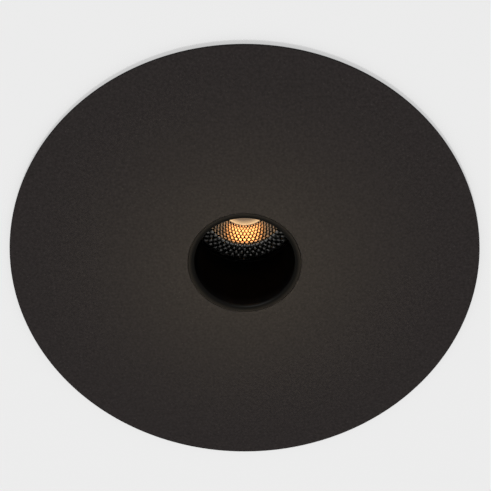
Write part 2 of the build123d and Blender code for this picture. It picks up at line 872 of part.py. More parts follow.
os.makedirs("parts", exist_ok=True)
for name, solid in solids.items():
    export_step(solid, f"parts/{name}.step")
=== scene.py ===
"""Looks and stage of a recessed downlight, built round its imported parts."""
import json
from math import cos, pi, radians, sin, tan

import bmesh
import bpy
from bmesh.types import BMEdge, BMVert
from bpy.props import FloatProperty, FloatVectorProperty, IntProperty, PointerProperty
from bpy.types import Operator, Panel, PropertyGroup
from mathutils import Matrix, Vector


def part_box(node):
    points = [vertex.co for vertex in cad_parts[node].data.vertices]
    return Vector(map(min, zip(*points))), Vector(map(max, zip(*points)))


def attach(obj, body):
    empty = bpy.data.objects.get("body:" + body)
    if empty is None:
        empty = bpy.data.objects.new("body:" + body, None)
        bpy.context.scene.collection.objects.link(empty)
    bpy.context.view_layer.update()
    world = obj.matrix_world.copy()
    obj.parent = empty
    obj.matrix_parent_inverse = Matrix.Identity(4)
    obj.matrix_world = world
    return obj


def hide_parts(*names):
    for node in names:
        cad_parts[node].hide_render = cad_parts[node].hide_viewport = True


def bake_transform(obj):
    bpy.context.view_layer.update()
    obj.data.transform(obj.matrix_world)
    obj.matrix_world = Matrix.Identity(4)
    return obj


bl_info = {
    "name": "Recessed Downlight",
    "version": (1, 0, 0),
    "blender": (4, 5, 0),
    "location": "View3D > Sidebar > Downlight",
    "description": "Gives a recessed downlight its finishes and fine shapes and sets its stage",
    "category": "Object",
}

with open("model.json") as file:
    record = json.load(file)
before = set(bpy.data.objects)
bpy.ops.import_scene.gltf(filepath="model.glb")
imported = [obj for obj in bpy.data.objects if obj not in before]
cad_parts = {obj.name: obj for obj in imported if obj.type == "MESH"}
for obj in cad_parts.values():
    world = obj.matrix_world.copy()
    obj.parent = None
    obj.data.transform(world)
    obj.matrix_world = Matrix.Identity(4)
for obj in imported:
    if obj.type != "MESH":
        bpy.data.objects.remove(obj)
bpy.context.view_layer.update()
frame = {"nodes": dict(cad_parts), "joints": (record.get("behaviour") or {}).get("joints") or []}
HINGES = {joint["child"]: Vector(joint["pos_m"]) for joint in frame["joints"]}

# Modelling: small distances, counts, and the turns past which an edge stays sharp or is rounded
WELD = 1e-6
ON_RING = 1e-5
ROUND_OFF = 1e-4
STUDS = 3
STUD_STEPS = 24
SEAL_STEPS = 96
LENS_STEPS = 128
CEILING_STEPS = 128
CREASE = radians(40)
PAD_CREASE = radians(50)
FACES_DOWN = -0.9

# Wall and edge rounding of each silicone ring
RINGS = {
    "heat_sink_o_ring": (0.0013, 0.0005),
    "rear_cap_gasket": (0.0016, 0.0002),
    "gland_o_ring": (0.0014, 0.0004),
    "gland_seal": (0.0012, 0.0003),
}

# Finishes: spans of noise that drive gloss and clouds, and the cosine of the normal's turn from flat to edge
GLOSS_SPAN = (0.3, 0.7)
CLOUD_SPAN = (0.35, 0.65)
EDGE_SPAN = (0.99, 0.80)

# Stage: place, width and power of each soft lamp, then the narrow lamp, the sky's slopes and the camera
SOFT_LAMPS = {
    "key": ((-0.10, 0.50, -2.95), 0.5, "key_power"),
    "back_left": ((-1.1, 1.2, 1.3), 0.9, "back_power"),
    "back_right": ((1.3, -1.1, 1.0), 0.9, "back_power"),
    "window": ((-0.45, -1.25, -0.75), 1.2, "window_power"),
}
POOL_PLACE = (0.0, 0.0, -0.8)
POOL_SPREAD = radians(8.6)
POOL_SOFTNESS = 0.05
SKY_SPAN = (0.1, 0.8)
HORIZON_BLUR = 0.02
FRAME_WIDTH = 36.0
NEAREST = 0.01


def length(label, description, default):
    """A size in metres that a user may change."""
    return FloatProperty(name=label, description=description, default=default, precision=5,
                         subtype="DISTANCE", unit="LENGTH")


def angle(label, description, degrees):
    """An angle that a user may change."""
    return FloatProperty(name=label, description=description, default=radians(degrees),
                         subtype="ANGLE", unit="ROTATION")


def colour(label, description, default):
    """A linear colour that a user may change."""
    return FloatVectorProperty(name=label, description=description, default=default, size=3,
                               min=0.0, max=1.0, subtype="COLOR")


def count(label, description, default):
    """A whole number that a user may change."""
    return IntProperty(name=label, description=description, default=default, min=1)


def amount(label, description, default):
    """A plain number that a user may change."""
    return FloatProperty(name=label, description=description, default=default, min=0.0)


class PlateSettings(PropertyGroup):
    """Cover plate, its foam gasket and its studs"""
    aperture: length("Aperture radius", "Radius of the hole that takes the baffle's nose", 0.0242)
    bend: length("Hole edge radius", "Rounding of the hole's edge", 0.0005)
    neck_wall: length("Neck wall", "Wall of the neck behind the hole", 0.0015)
    root: length("Root radius", "Rounding between the neck and the plate's back", 0.0006)
    edge: length("Edge radius", "Rounding of the plate's outer edge", 0.0005)
    back_edge: length("Back edge radius", "Rounding of the plate's outer edge next to the ceiling", 0.0014)
    steps: count("Steps around", "Flats round the plate", 256)
    coat: colour("Coat", "Dark bronze powder coat", (0.0254, 0.0211, 0.0204))
    fleck: colour("Fleck", "Fine metal flecks in the coat", (0.040, 0.034, 0.032))
    # Rim coat is painted shade: a darker colour on the plate's outer edge, standing in for the shade on its side
    # wall.
    rim: colour("Rim coat", "Darker coat on the plate's outer edge", (0.0050, 0.0042, 0.0040))
    edge_shade_start: length("Rim start", "Radius where the coat begins to darken", 0.0997)
    edge_shade_end: length("Rim end", "Radius where the coat is at its darkest", 0.0999)
    foam_width: length("Foam width", "Width of the foam gasket", 0.010)
    foam_edge: length("Foam edge", "Rounding of the foam gasket's edges", 0.0006)
    stud: length("Stud radius", "Radius of the studs", 0.0015)
    thread_pitch: length("Thread pitch", "Pitch of the stud threads", 0.0005)
    thread_depth: length("Thread depth", "Depth of the stud threads", 0.00028)
    thread_start: length("Thread start", "Plain length of a stud next to the plate", 0.0010)


class WellSettings(PropertyGroup):
    """Baffle, lens and seal at the bottom of the well"""
    optic: length("Optic radius", "Open radius in front of the reflector", 0.0249)
    groove: length("Groove radius", "Radius of the seal's groove round the lens", 0.0271)
    lip: length("Seal lip", "Lip of the silicone seal on each side of the lens", 0.0010)
    soft_edge: length("Soft edge", "Rounding of the silicone edges", 0.0002)
    nose: colour("Baffle nose", "Dark rim of the baffle, next to the plate", (0.0170, 0.0137, 0.0117))
    # Baffle mouth is painted shade: the dark colour on the rounded lip inside the rim.
    mouth: colour("Baffle mouth", "Rounded lip inside the rim", (0.0016, 0.0013, 0.0009))
    # Baffle throat is painted light: the lit, slightly blue band on the wall just above the mouth.
    throat: colour("Baffle throat", "Inside of the well just above the mouth", (0.0115, 0.0115, 0.0122))
    baffle: colour("Baffle", "Black inside of the well", (0.0006, 0.0006, 0.0006))
    nose_radius: length("Nose radius", "Outer radius of the baffle's rim", 0.0241)
    lip_shade_start: length("Mouth start", "Radius where the rim turns into the mouth", 0.0225)
    gloss_start: length("Gloss start", "Height above the rim where the gloss begins to fade", 0.0006)
    gloss_end: length("Gloss end", "Height above the rim where the gloss is gone", 0.0016)
    painted_light_peak: length("Mouth end", "Height above the rim where the mouth's colour ends", 0.0018)
    painted_light_end: length("Throat end", "Height above the rim where the inside is fully black", 0.0078)


class ReflectorSettings(PropertyGroup):
    """Faceted reflector round the LED"""
    facets: count("Facets around", "Diamond facets in one row", 52)
    cone_rows: count("Cone rows", "Rows of facets on the cone", 7)
    border_rows: count("Border rows", "Rows of facets on the flat border", 4)
    throat: length("Throat radius", "Inner radius, round the LED", 0.0108)
    bend: length("Bend radius", "Radius where the cone meets the flat border", 0.0177)
    outer: length("Facet radius", "Outer radius of the facets", 0.0243)
    step: length("Step radius", "Radius of the step inside the housing's shelf", 0.0248)
    rim: length("Rim thickness", "Thickness of the rim that the heat sink holds", 0.0012)
    shelf: length("Shelf thickness", "Thickness of the housing's shelf", 0.0020)
    gap: length("Shelf gap", "How far the facets stand back from the shelf's face", 0.0003)
    wall: length("Cone wall", "Wall of the cone, measured across", 0.0018)
    slope: angle("Cone slope", "Slope of the cone", 42.4)
    pillow: length("Border pillow", "How far each facet of the border swells", 0.00036)
    cone_pillow: length("Cone pillow", "How far each facet of the cone swells", 0.00001)
    throat_lean: angle("Throat lean", "How far the facets lean towards the LED at the throat", 20.5)
    bend_lean: angle("Bend lean", "How far the facets lean towards the LED at the bend", 29.0)
    cuts: count("Facet cuts", "Cuts along each side of a facet", 5)
    metal: colour("Metal", "Bright metallised coat", (0.82, 0.80, 0.77))


class LampSettings(PropertyGroup):
    """Lit LED and the white clamp round it"""
    phosphor: colour("Phosphor", "Yellow phosphor of the LED", (0.85, 0.62, 0.18))
    light: colour("Light", "Colour of the lit LED", (1.0, 0.38, 0.11))
    strength: amount("Light strength", "Brightness of the lit LED in the picture", 8.0)
    core: length("Core radius", "Radius of the LED's bright core", 0.0018)
    core_end: length("Core end", "Radius where the LED's brightness has faded", 0.0040)
    core_dim: colour("Core edge", "Light at the LED's edge", (0.08, 0.034, 0.01))
    # Halo and glow are painted light: emission on the clamp that stands in for the LED's light falling on it.
    halo: colour("Halo", "Colour of the lit clamp near the LED", (0.24, 0.16, 0.10))
    glow: colour("Glow", "Colour of the lit clamp at the reflector's throat", (0.95, 0.60, 0.30))
    halo_strength: amount("Halo strength", "Brightness of the lit clamp in the picture", 1.0)
    halo_inner: length("Halo radius", "Radius of the halo on the lit clamp", 0.0085)
    halo_outer: length("Glow radius", "Radius of the glow on the lit clamp", 0.0108)


class ClipSettings(PropertyGroup):
    """Spring clips: sizes from the hinge pin, in the clip's own frame"""
    rest: angle("Rest angle", "Slope of the wing at rest, below level", 30.0)
    wire: length("Wire diameter", "Spring wire", 0.0010)
    coil: length("Coil radius", "Mean radius of the coil", 0.0028)
    span: length("Coil half span", "Half the coil's length along the pin", 0.0045)
    turns: count("Coil turns", "Whole turns of the coil", 5)
    fixed_leg: length("Fixed leg", "Spring leg up the bracket", 0.009)
    moving_leg: length("Moving leg", "Spring leg along the wing", 0.016)
    wire_sides: count("Wire sides", "Flats round the wire", 14)
    turn_steps: count("Steps in a turn", "Steps in one turn of the coil", 32)
    pad_start: length("Pad start", "Where the rubber pad begins on the wing", 0.036)
    pad_end: length("Pad end", "Where the rubber pad ends", 0.0467)
    pad_width: length("Pad half width", "Half the width of the rubber pad", 0.0078)
    pad_top: length("Pad top", "Drop of the pad's upper face below the pin", 0.0024)
    pad_bottom: length("Pad bottom", "Drop of the pad's lower face below the pin", 0.0058)
    pad_wall: length("Pad wall", "Wall of the pad's sleeve", 0.0011)
    pad_slot: length("Pad slot", "Depth of the slot that takes the wing", 0.0091)
    pad_tip: length("Pad tip", "Rounding of the pad's tip corners", 0.0030)
    pad_edge: length("Pad edge", "Rounding of the pad's edges", 0.00018)
    ribs: count("Ribs", "Grip ribs under the pad", 3)
    rib: length("Rib height", "Height of the grip ribs", 0.0004)


class StageSettings(PropertyGroup):
    """Camera, ceiling and lamps"""
    lens: FloatProperty(name="Focal length", description="Focal length on a 36 mm wide frame",
                        default=112.66, unit="CAMERA")
    distance: length("Distance", "From the camera to the point it aims at", 0.6508)
    tilt: angle("Tilt", "Angle between the view and the plate's normal", 29.618)
    aim: FloatVectorProperty(name="Aim", description="Point on the plate in the middle of the picture",
                             default=(0.000386, -0.00890, -0.0035), subtype="XYZ", unit="LENGTH")
    pale: amount("Pale level", "Brightness of the ceiling and the backdrop", 0.846)
    dim: amount("Dim level", "Brightness of the room below, as gloss shows it", 0.07)
    glint: amount("Glint level", "Brightness of the room below, as the glass passes it on", 0.20)
    plain: amount("Plain share", "Share of the ceiling's colour that takes no shadow", 0.6)
    ambient: amount("Ambient", "Soft light from below and above", 0.61)
    horizon: amount("Horizon", "Soft light from the sides", 0.15)
    key_power: amount("Key power", "Soft lamp below the ceiling", 44.0)
    pool_power: amount("Pool power", "Narrow lamp below the hole", 28.0)
    pool: colour("Pool colour", "Warm colour of the narrow lamp", (1.0, 0.99, 0.59))
    window_power: amount("Window power", "Broad pale light that only gloss shows", 2.2)
    back_power: amount("Back power", "Soft lamps above the ceiling", 16.0)
    ceiling: length("Ceiling radius", "Radius of the ceiling disc", 3.0)
    cutout: length("Cut-out radius", "Radius of the hole in the ceiling, hidden by the foam", 0.0955)


class DownlightSettings(PropertyGroup):
    """All settings of the downlight"""
    plate: PointerProperty(type=PlateSettings)
    well: PointerProperty(type=WellSettings)
    reflector: PointerProperty(type=ReflectorSettings)
    lamp: PointerProperty(type=LampSettings)
    clip: PointerProperty(type=ClipSettings)
    stage: PointerProperty(type=StageSettings)


class Nodes:
    """A node tree while it is filled."""

    def __init__(self, tree):
        self.tree = tree

    def feed(self, socket, value):
        """Link a socket to another, or set its value."""
        if isinstance(value, bpy.types.NodeSocket):
            self.tree.links.new(value, socket)
        else:
            socket.default_value = value

    def add(self, kind, inputs=None, **settings):
        """Add a node with these settings and inputs."""
        node = self.tree.nodes.new(kind)
        for name, value in settings.items():
            setattr(node, name, value)
        for name, value in (inputs or {}).items():
            self.feed(node.inputs[name], value)
        return node

    def between(self, value, low, high, to_low=0.0, to_high=1.0):
        """Spread a value's range from low to high over another range."""
        inputs = {"Value": value, "From Min": low, "From Max": high, "To Min": to_low, "To Max": to_high}
        return self.add("ShaderNodeMapRange", inputs).outputs[0]


class Finish(Nodes):
    """A procedural material while it is made: one shader and the texture nodes that feed it."""

    def __init__(self, name, roughness=0.5, metallic=0.0, specular=0.5):
        self.material = bpy.data.materials.new(name)
        self.material.use_nodes = True
        super().__init__(self.material.node_tree)
        self.shader = self.tree.nodes["Principled BSDF"]
        self.place = self.add("ShaderNodeTexCoord").outputs["Object"]
        self.normal = None
        self.give("Roughness", roughness)
        self.give("Metallic", metallic)
        self.give("Specular IOR Level", specular)

    def give(self, name, value):
        """Feed one of the shader's own sockets."""
        self.feed(self.shader.inputs[name], value)

    def spread(self, size, stretch=(1.0, 1.0, 1.0)):
        """Object coordinates counted in grains of a size, drawn out along the axes by stretch."""
        scale = [1.0 / (size * share) for share in stretch]
        return self.add("ShaderNodeMapping", {"Vector": self.place, "Scale": scale}).outputs[0]

    def grain(self, size, detail=2.0, stretch=(1.0, 1.0, 1.0)):
        """Soft noise whose grains have this size."""
        inputs = {"Vector": self.spread(size, stretch), "Scale": 1.0, "Detail": detail}
        return self.add("ShaderNodeTexNoise", inputs).outputs[0]

    def cells(self, size):
        """Distance from the nearest of scattered points this far apart."""
        inputs = {"Vector": self.spread(size), "Scale": 1.0}
        return self.add("ShaderNodeTexVoronoi", inputs).outputs["Distance"]

    def mix(self, share, first, second):
        """Colour between two colours."""
        colours = {0: share, 6: rgba(first), 7: rgba(second)}
        return self.add("ShaderNodeMix", colours, data_type="RGBA").outputs[2]

    def reach(self):
        """Distance from the lamp's axis."""
        flat = self.add("ShaderNodeVectorMath", {0: self.place, 1: (1.0, 1.0, 0.0)}, operation="MULTIPLY")
        return self.add("ShaderNodeVectorMath", {0: flat.outputs[0]}, operation="LENGTH").outputs["Value"]

    def paint(self, tone):
        """Set the colour, or link it."""
        self.give("Base Color", rgba(tone))

    def gloss(self, value, smooth, rough):
        """Roughness that follows a noise between two levels."""
        self.give("Roughness", self.between(value, *GLOSS_SPAN, smooth, rough))

    def light_up(self, tone, strength):
        """Make the surface shine by itself."""
        self.give("Emission Color", tone)
        self.give("Emission Strength", strength)

    def relief(self, height, depth):
        """Raise the surface by a texture, on top of what was raised before."""
        inputs = {"Height": height, "Distance": depth, "Strength": 1.0}
        if self.normal:
            inputs["Normal"] = self.normal
        self.normal = self.add("ShaderNodeBump", inputs).outputs[0]
        self.give("Normal", self.normal)

    def round_edges(self, radius):
        """Soften sharp edges in the shading and return how near a point is to one."""
        self.normal = self.add("ShaderNodeBevel", {"Radius": radius}, samples=6).outputs[0]
        flat = self.add("ShaderNodeNewGeometry").outputs["Normal"]
        turn = self.add("ShaderNodeVectorMath", {0: self.normal, 1: flat}, operation="DOT_PRODUCT")
        self.give("Normal", self.normal)
        return self.between(turn.outputs["Value"], *EDGE_SPAN)


def rgba(tone):
    """A colour with its alpha, or a socket as it is."""
    return tone if isinstance(tone, bpy.types.NodeSocket) else (*tone, 1.0)


def shade(base, share):
    """A colour made lighter or darker."""
    return [channel * share for channel in base]


def bronze_coat(plate):
    """Dark bronze powder coat: fine soft grain with small flecks; the outer edge is darkened with painted shade,
    standing in for the shade on its side wall.
    """
    coat = Finish("bronze_coat", specular=0.18)
    grain = coat.grain(0.0011, detail=1.5)
    tone = coat.mix(coat.between(grain, 0.25, 0.75), shade(plate.coat, 0.78), shade(plate.coat, 1.22))
    flecks = coat.between(coat.cells(0.0024), 0.14, 0.06)
    tone = coat.mix(flecks, tone, plate.fleck)
    # Painted shade: the coat turns to the darker rim colour on the plate's outer edge.
    edge = coat.between(coat.reach(), plate.edge_shade_start, plate.edge_shade_end)
    coat.paint(coat.mix(edge, tone, plate.rim))
    coat.gloss(coat.grain(0.0016), smooth=0.50, rough=0.60)
    coat.relief(grain, depth=0.00003)
    return coat.material


def closed_cell_foam():
    """Black foam with small closed cells."""
    foam = Finish("closed_cell_foam", roughness=0.9, specular=0.2)
    cells = foam.cells(0.0007)
    foam.paint(foam.mix(foam.between(cells, 0.2, 0.7), (0.006, 0.006, 0.007), (0.020, 0.020, 0.021)))
    foam.relief(cells, depth=0.00018)
    return foam.material


def black_casting():
    """Black powder coat on a die casting: orange peel, with the edges rubbed a little."""
    coat = Finish("black_casting", specular=0.4)
    worn = coat.round_edges(0.0006)
    patches = coat.between(coat.grain(0.004), 0.45, 0.75)
    rubbed = coat.add("ShaderNodeMath", {0: worn, 1: patches}, operation="MULTIPLY").outputs[0]
    peel = coat.grain(0.0013, detail=3.0)
    tone = coat.mix(peel, (0.010, 0.010, 0.011), (0.020, 0.020, 0.021))
    coat.paint(coat.mix(rubbed, tone, (0.065, 0.065, 0.068)))
    coat.gloss(peel, smooth=0.46, rough=0.64)
    coat.relief(peel, depth=0.00006)
    return coat.material


def anodised_aluminium():
    """Black anodised extrusion with die lines along its length and bright machined edges."""
    metal = Finish("anodised_aluminium", metallic=0.45)
    worn = metal.between(metal.round_edges(0.0003), 0.5, 1.0, to_high=0.5)
    lines = metal.grain(0.0005, stretch=(1.0, 1.0, 40.0))
    tone = metal.mix(lines, (0.016, 0.016, 0.018), (0.030, 0.030, 0.033))
    metal.paint(metal.mix(worn, tone, (0.16, 0.16, 0.165)))
    metal.gloss(lines, smooth=0.32, rough=0.50)
    metal.relief(lines, depth=0.000012)
    return metal.material


def black_baffle(well):
    """Deep black anti-glare inside, with a dark bronze rim at the mouth; painted shade darkens the rim towards the
    hole, and a band of painted light just inside the mouth fades to black deeper in.
    """
    black = Finish("black_baffle", specular=0.02)
    grain = black.grain(0.0005)
    height = black.add("ShaderNodeSeparateXYZ", {0: black.place}).outputs["Z"]
    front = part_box("baffle")[0].z
    painted_light_peak, painted_light_end = front + well.painted_light_peak, front + well.painted_light_end
    # Painted shade: the rim's colour darkens from the nose towards the hole, standing in for the shade on the
    # rounded lip.
    rim = black.between(black.reach(), well.lip_shade_start, well.nose_radius)
    tone = black.mix(rim, well.mouth, well.nose)
    # Painted light: a lighter, slightly blue band just inside the mouth, standing in for light entering the well
    # and a faint highlight.
    tone = black.mix(black.between(height, front, painted_light_peak), tone, well.throat)
    # The painted light fades out here, leaving the baffle's own black deeper in the well.
    tone = black.mix(black.between(height, painted_light_peak, painted_light_end), tone, well.baffle)
    specks = black.between(grain, 0.6, 0.9, to_high=0.2)
    black.paint(black.mix(specks, tone, well.baffle))
    black.give("Coat Weight", black.between(height, front + well.gloss_start, front + well.gloss_end, 1.0, 0.0))
    black.give("Coat Roughness", 0.35)
    black.gloss(grain, smooth=0.55, rough=0.70)
    black.relief(grain, depth=0.00002)
    return black.material


def clear_glass():
    """Polished clear glass with a trace of wiping marks."""
    glass = Finish("clear_glass")
    glass.paint((0.985, 0.99, 0.985))
    glass.give("Transmission Weight", 1.0)
    glass.give("IOR", 1.5)
    glass.gloss(glass.grain(0.004, stretch=(4.0, 1.0, 1.0)), smooth=0.0, rough=0.012)
    return glass.material


def metallised_reflector(reflector):
    """Bright vacuum-metallised plastic, hazier on the border than on the cone."""
    mirror = Finish("metallised_reflector", metallic=1.0)
    haze = mirror.grain(0.0015, detail=3.0)
    mirror.paint(mirror.mix(haze, shade(reflector.metal, 0.94), shade(reflector.metal, 1.06)))
    border = (mirror.reach(), reflector.bend, reflector.bend + row_width(reflector))
    mirror.gloss(haze, smooth=mirror.between(*border, 0.13, 0.27), rough=mirror.between(*border, 0.18, 0.34))
    return mirror.material


def led_phosphor(lamp):
    """Lit phosphor over a close field of dies."""
    led = Finish("led_phosphor", roughness=0.6)
    dies = led.between(led.cells(0.0011), 0.1, 0.6)
    led.paint(led.mix(dies, lamp.phosphor, shade(lamp.phosphor, 0.8)))
    lit = led.mix(dies, lamp.light, shade(lamp.light, 0.85))
    fade = led.between(led.reach(), lamp.core, lamp.core_end)
    led.light_up(led.mix(fade, lit, lamp.core_dim), lamp.strength)
    return led.material


def lit_nylon(lamp):
    """White nylon clamp with painted light: it glows by emission, dimly near the LED and brighter at the
    reflector's throat, standing in for the LED's light on it.
    """
    nylon = Finish("lit_nylon", roughness=0.55)
    nylon.paint((0.80, 0.79, 0.76))
    fade = nylon.between(nylon.reach(), lamp.halo_inner, lamp.halo_outer)
    # Painted light: emission on the clamp stands in for the LED's light falling on it.
    nylon.light_up(nylon.mix(fade, lamp.halo, lamp.glow), lamp.halo_strength)
    nylon.relief(nylon.grain(0.0006), depth=0.00002)
    return nylon.material


def copper_board():
    """White solder mask with copper showing faintly through it."""
    mask = Finish("copper_board", roughness=0.35)
    tracks = mask.between(mask.grain(0.003, detail=0.0), 0.48, 0.52, to_high=0.2)
    mask.paint(mask.mix(tracks, (0.72, 0.71, 0.67), (0.55, 0.38, 0.24)))
    mask.relief(tracks, depth=0.00003)
    return mask.material


FINISHES = {maker.__name__: maker for maker in (
    bronze_coat, closed_cell_foam, black_casting, anodised_aluminium, black_baffle, clear_glass,
    metallised_reflector, led_phosphor, lit_nylon, copper_board,
)}


def rubbery(name, base):
    """Moulded rubber or silicone: matte, with fine grain and a little dust."""
    rubber = Finish(name, specular=0.3)
    grain = rubber.grain(0.0006, detail=3.0)
    tone = rubber.mix(grain, shade(base, 0.8), shade(base, 1.2))
    dust = rubber.between(rubber.grain(0.006, detail=4.0), 0.50, 0.80, to_high=0.35)
    rubber.paint(rubber.mix(dust, tone, [channel * 1.6 + 0.01 for channel in base]))
    rubber.gloss(grain, smooth=0.62, rough=0.80)
    rubber.relief(grain, depth=0.00002)
    return rubber.material


RUBBERS = {
    "black_silicone": (0.010, 0.010, 0.010),
    "grey_silicone": (0.22, 0.23, 0.25),
    "black_lead": (0.010, 0.010, 0.010),
    "red_lead": (0.32, 0.012, 0.010),
    "black_rubber": (0.012, 0.012, 0.012),
}


def two_tone(name, dark, light, grain, depth, metallic=0.0, specular=0.5, edge=0.0, clouds=0.0,
             detail=2.0, stretch=(1.0, 1.0, 1.0), gloss=()):
    """Steel or nylon: two tones that follow its grain or clouds, with gloss and relief from the grain."""
    made = Finish(name, metallic=metallic, specular=specular)
    if edge:
        made.round_edges(edge)
    fine = made.grain(grain, detail, stretch)
    made.paint(made.mix(made.between(made.grain(clouds), *CLOUD_SPAN) if clouds else fine, dark, light))
    if gloss:
        made.gloss(fine, *gloss)
    made.relief(fine, depth)
    return made.material


# Bright zinc on rolled sheet, satin turned stainless, drawn spring wire, and moulded nylon
TWO_TONES = {
    "zinc_steel": dict(dark=(0.58, 0.62, 0.67), light=(0.68, 0.66, 0.60), clouds=0.012, grain=0.0004,
                       stretch=(1.0, 14.0, 1.0), gloss=(0.28, 0.46), depth=0.000006, edge=0.00025, metallic=1.0),
    "stainless_steel": dict(dark=(0.48, 0.47, 0.46), light=(0.62, 0.61, 0.59), grain=0.0002,
                            stretch=(6.0, 6.0, 1.0), gloss=(0.22, 0.40), depth=0.000004, edge=0.0002, metallic=1.0),
    "spring_steel": dict(dark=(0.30, 0.30, 0.33), light=(0.44, 0.42, 0.39), clouds=0.006, grain=0.0003,
                         stretch=(1.0, 0.5, 1.0), gloss=(0.20, 0.42), depth=0.000008, metallic=1.0),
    "white_nylon": dict(dark=(0.66, 0.66, 0.62), light=(0.74, 0.74, 0.72), grain=0.0007, depth=0.00002),
    "black_nylon": dict(dark=(0.009, 0.009, 0.009), light=(0.018, 0.018, 0.018), grain=0.0005, detail=3.0,
                        gloss=(0.40, 0.62), depth=0.00003, edge=0.0005, specular=0.4),
}


def finish(name, *settings):
    """The material of a finish, made at its first use; a packed material of that name gives way."""
    found = bpy.data.materials.get(name)
    if found and found.use_fake_user:
        return found
    if found:
        found.name = f"packed_{name}"
    if name in RUBBERS:
        made = rubbery(name, RUBBERS[name])
    elif name in TWO_TONES:
        made = two_tone(name, **TWO_TONES[name])
    else:
        made = FINISHES[name](*settings)
    made.use_fake_user = True
    return made


def dress(material, *nodes):
    """Give CAD nodes a finish."""
    for node in nodes:
        slots = frame["nodes"][node].data.materials
        slots.clear()
        slots.append(material)


def everything(bm):
    """All vertices, edges and faces of a bmesh."""
    return bm.verts[:] + bm.edges[:] + bm.faces[:]


def only(kind, geometry):
    """The vertices or edges among what an operator gave back."""
    return [item for item in geometry if isinstance(item, kind)]


def copy_round(bm, times):
    """Copy a bmesh round Z so that it is there a number of times in one turn."""
    bmesh.ops.spin(bm, geom=everything(bm), cent=(0, 0, 0), axis=(0, 0, 1), angle=2 * pi * (times - 1) / times,
                   steps=times - 1, use_duplicate=True)


def lathe(corners, steps, segments=6):
    """Spin (radius, height) corners about Z into a closed shape; a third number rounds that corner."""
    bm = bmesh.new()
    verts = [bm.verts.new((corner[0], 0.0, corner[1])) for corner in corners]
    edges = [bm.edges.new(pair) for pair in zip(verts, verts[1:] + verts[:1])]
    bmesh.ops.spin(bm, geom=verts + edges, cent=(0, 0, 0), axis=(0, 0, 1), angle=2 * pi,
                   steps=steps, use_merge=True)
    bmesh.ops.remove_doubles(bm, verts=bm.verts, dist=WELD)
    bmesh.ops.dissolve_degenerate(bm, edges=bm.edges, dist=WELD)
    bmesh.ops.recalc_face_normals(bm, faces=bm.faces)
    for radius, height, rounding in (corner for corner in corners if len(corner) == 3):
        ring = [edge for edge in bm.edges if all(on_ring(vert, radius, height) for vert in edge.verts)]
        soften(bm, ring, rounding, segments)
    return bm


def on_ring(vert, radius, height):
    """Whether a vertex lies on a circle about Z."""
    return abs(vert.co.xy.length - radius) < ON_RING and abs(vert.co.z - height) < ON_RING


def ring_corners(inner, outer, bottom, top, rounding):
    """Corners of a ring's section, all rounded alike."""
    section = (inner, bottom), (outer, bottom), (outer, top), (inner, top)
    return [(radius, height, rounding) for radius, height in section]


def soften(bm, edges, width, segments):
    """Round off edges."""
    bmesh.ops.bevel(bm, geom=edges, offset=width, offset_type="OFFSET", segments=segments, profile=0.5,
                    affect="EDGES", material=-1, clamp_overlap=True)


def piece(node, bm, slot, *settings, body="fixture", even=True):
    """Turn a bmesh into a piece that stands for a CAD node, in the finish of its slot."""
    for face in bm.faces:
        face.smooth = True
    for edge in bm.edges:
        if edge.is_manifold and edge.calc_face_angle() > CREASE:
            edge.smooth = False
    made = mesh_object(f"{node}_visual", bm, finish(slot, *settings))
    if even:
        made.modifiers.new("Even shading", "WEIGHTED_NORMAL").keep_sharp = True
    if body:
        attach(made, body)
    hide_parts(node)
    return made


def mesh_object(name, bm, material):
    """Put a bmesh into the scene as an object with one material."""
    mesh = bpy.data.meshes.new(name)
    bm.to_mesh(mesh)
    bm.free()
    mesh.materials.append(material)
    made = bpy.data.objects.new(name, mesh)
    bpy.context.scene.collection.objects.link(made)
    return made


def node_levels(node):
    """Largest radius about Z and lowest and highest level of a CAD node."""
    low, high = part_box(node)
    return high.x, low.z, high.z


class DOWNLIGHT_OT_cover_plate(Operator):
    """Round dark bronze plate with its drawn neck"""
    bl_idname = "downlight.cover_plate"
    bl_label = "Cover plate"

    def execute(self, context):
        plate = context.scene.downlight.plate
        radius, front, neck_top = node_levels("cover_plate")
        back = node_levels("ceiling_gasket")[1]
        neck = plate.aperture + plate.neck_wall
        bm = lathe([
            (plate.aperture, front, plate.bend),
            (radius, front, plate.edge),
            (radius, back, plate.back_edge),
            (neck, back, plate.root),
            (neck, neck_top),
            (plate.aperture, neck_top),
        ], plate.steps, segments=10)
        piece("cover_plate", bm, "bronze_coat", plate)
        return {"FINISHED"}


class DOWNLIGHT_OT_ceiling_gasket(Operator):
    """Foam ring that seals the plate against the ceiling"""
    bl_idname = "downlight.ceiling_gasket"
    bl_label = "Ceiling gasket"

    def execute(self, context):
        plate = context.scene.downlight.plate
        outer, bottom, top = node_levels("ceiling_gasket")
        section = ring_corners(outer - plate.foam_width, outer, bottom, top, plate.foam_edge)
        bm = lathe(section, plate.steps, segments=4)
        ring = piece("ceiling_gasket", bm, "closed_cell_foam")
        return {"FINISHED"}


class DOWNLIGHT_OT_plate_fixings(Operator):
    """Threaded studs of the plate, with their washers and nuts"""
    bl_idname = "downlight.plate_fixings"
    bl_label = "Plate fixings"

    def execute(self, context):
        plate = context.scene.downlight.plate
        dress(finish("zinc_steel"), "stud_washers", "stud_nuts")
        low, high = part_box("plate_studs")
        bottom, top, radius = low.z, high.z, plate.stud
        corners = [(0.0, bottom), (radius, bottom), (radius, bottom + plate.thread_start)]
        level = corners[-1][1]
        while level + plate.thread_pitch < top:
            corners.append((radius - plate.thread_depth, level + plate.thread_pitch / 2))
            level += plate.thread_pitch
            corners.append((radius, level))
        corners += [(radius - plate.thread_depth, top), (0.0, top)]
        bm = lathe(corners, STUD_STEPS)
        bmesh.ops.translate(bm, verts=bm.verts, vec=(0, high.y - radius, 0))
        copy_round(bm, STUDS)
        piece("plate_studs", bm, "zinc_steel")
        return {"FINISHED"}


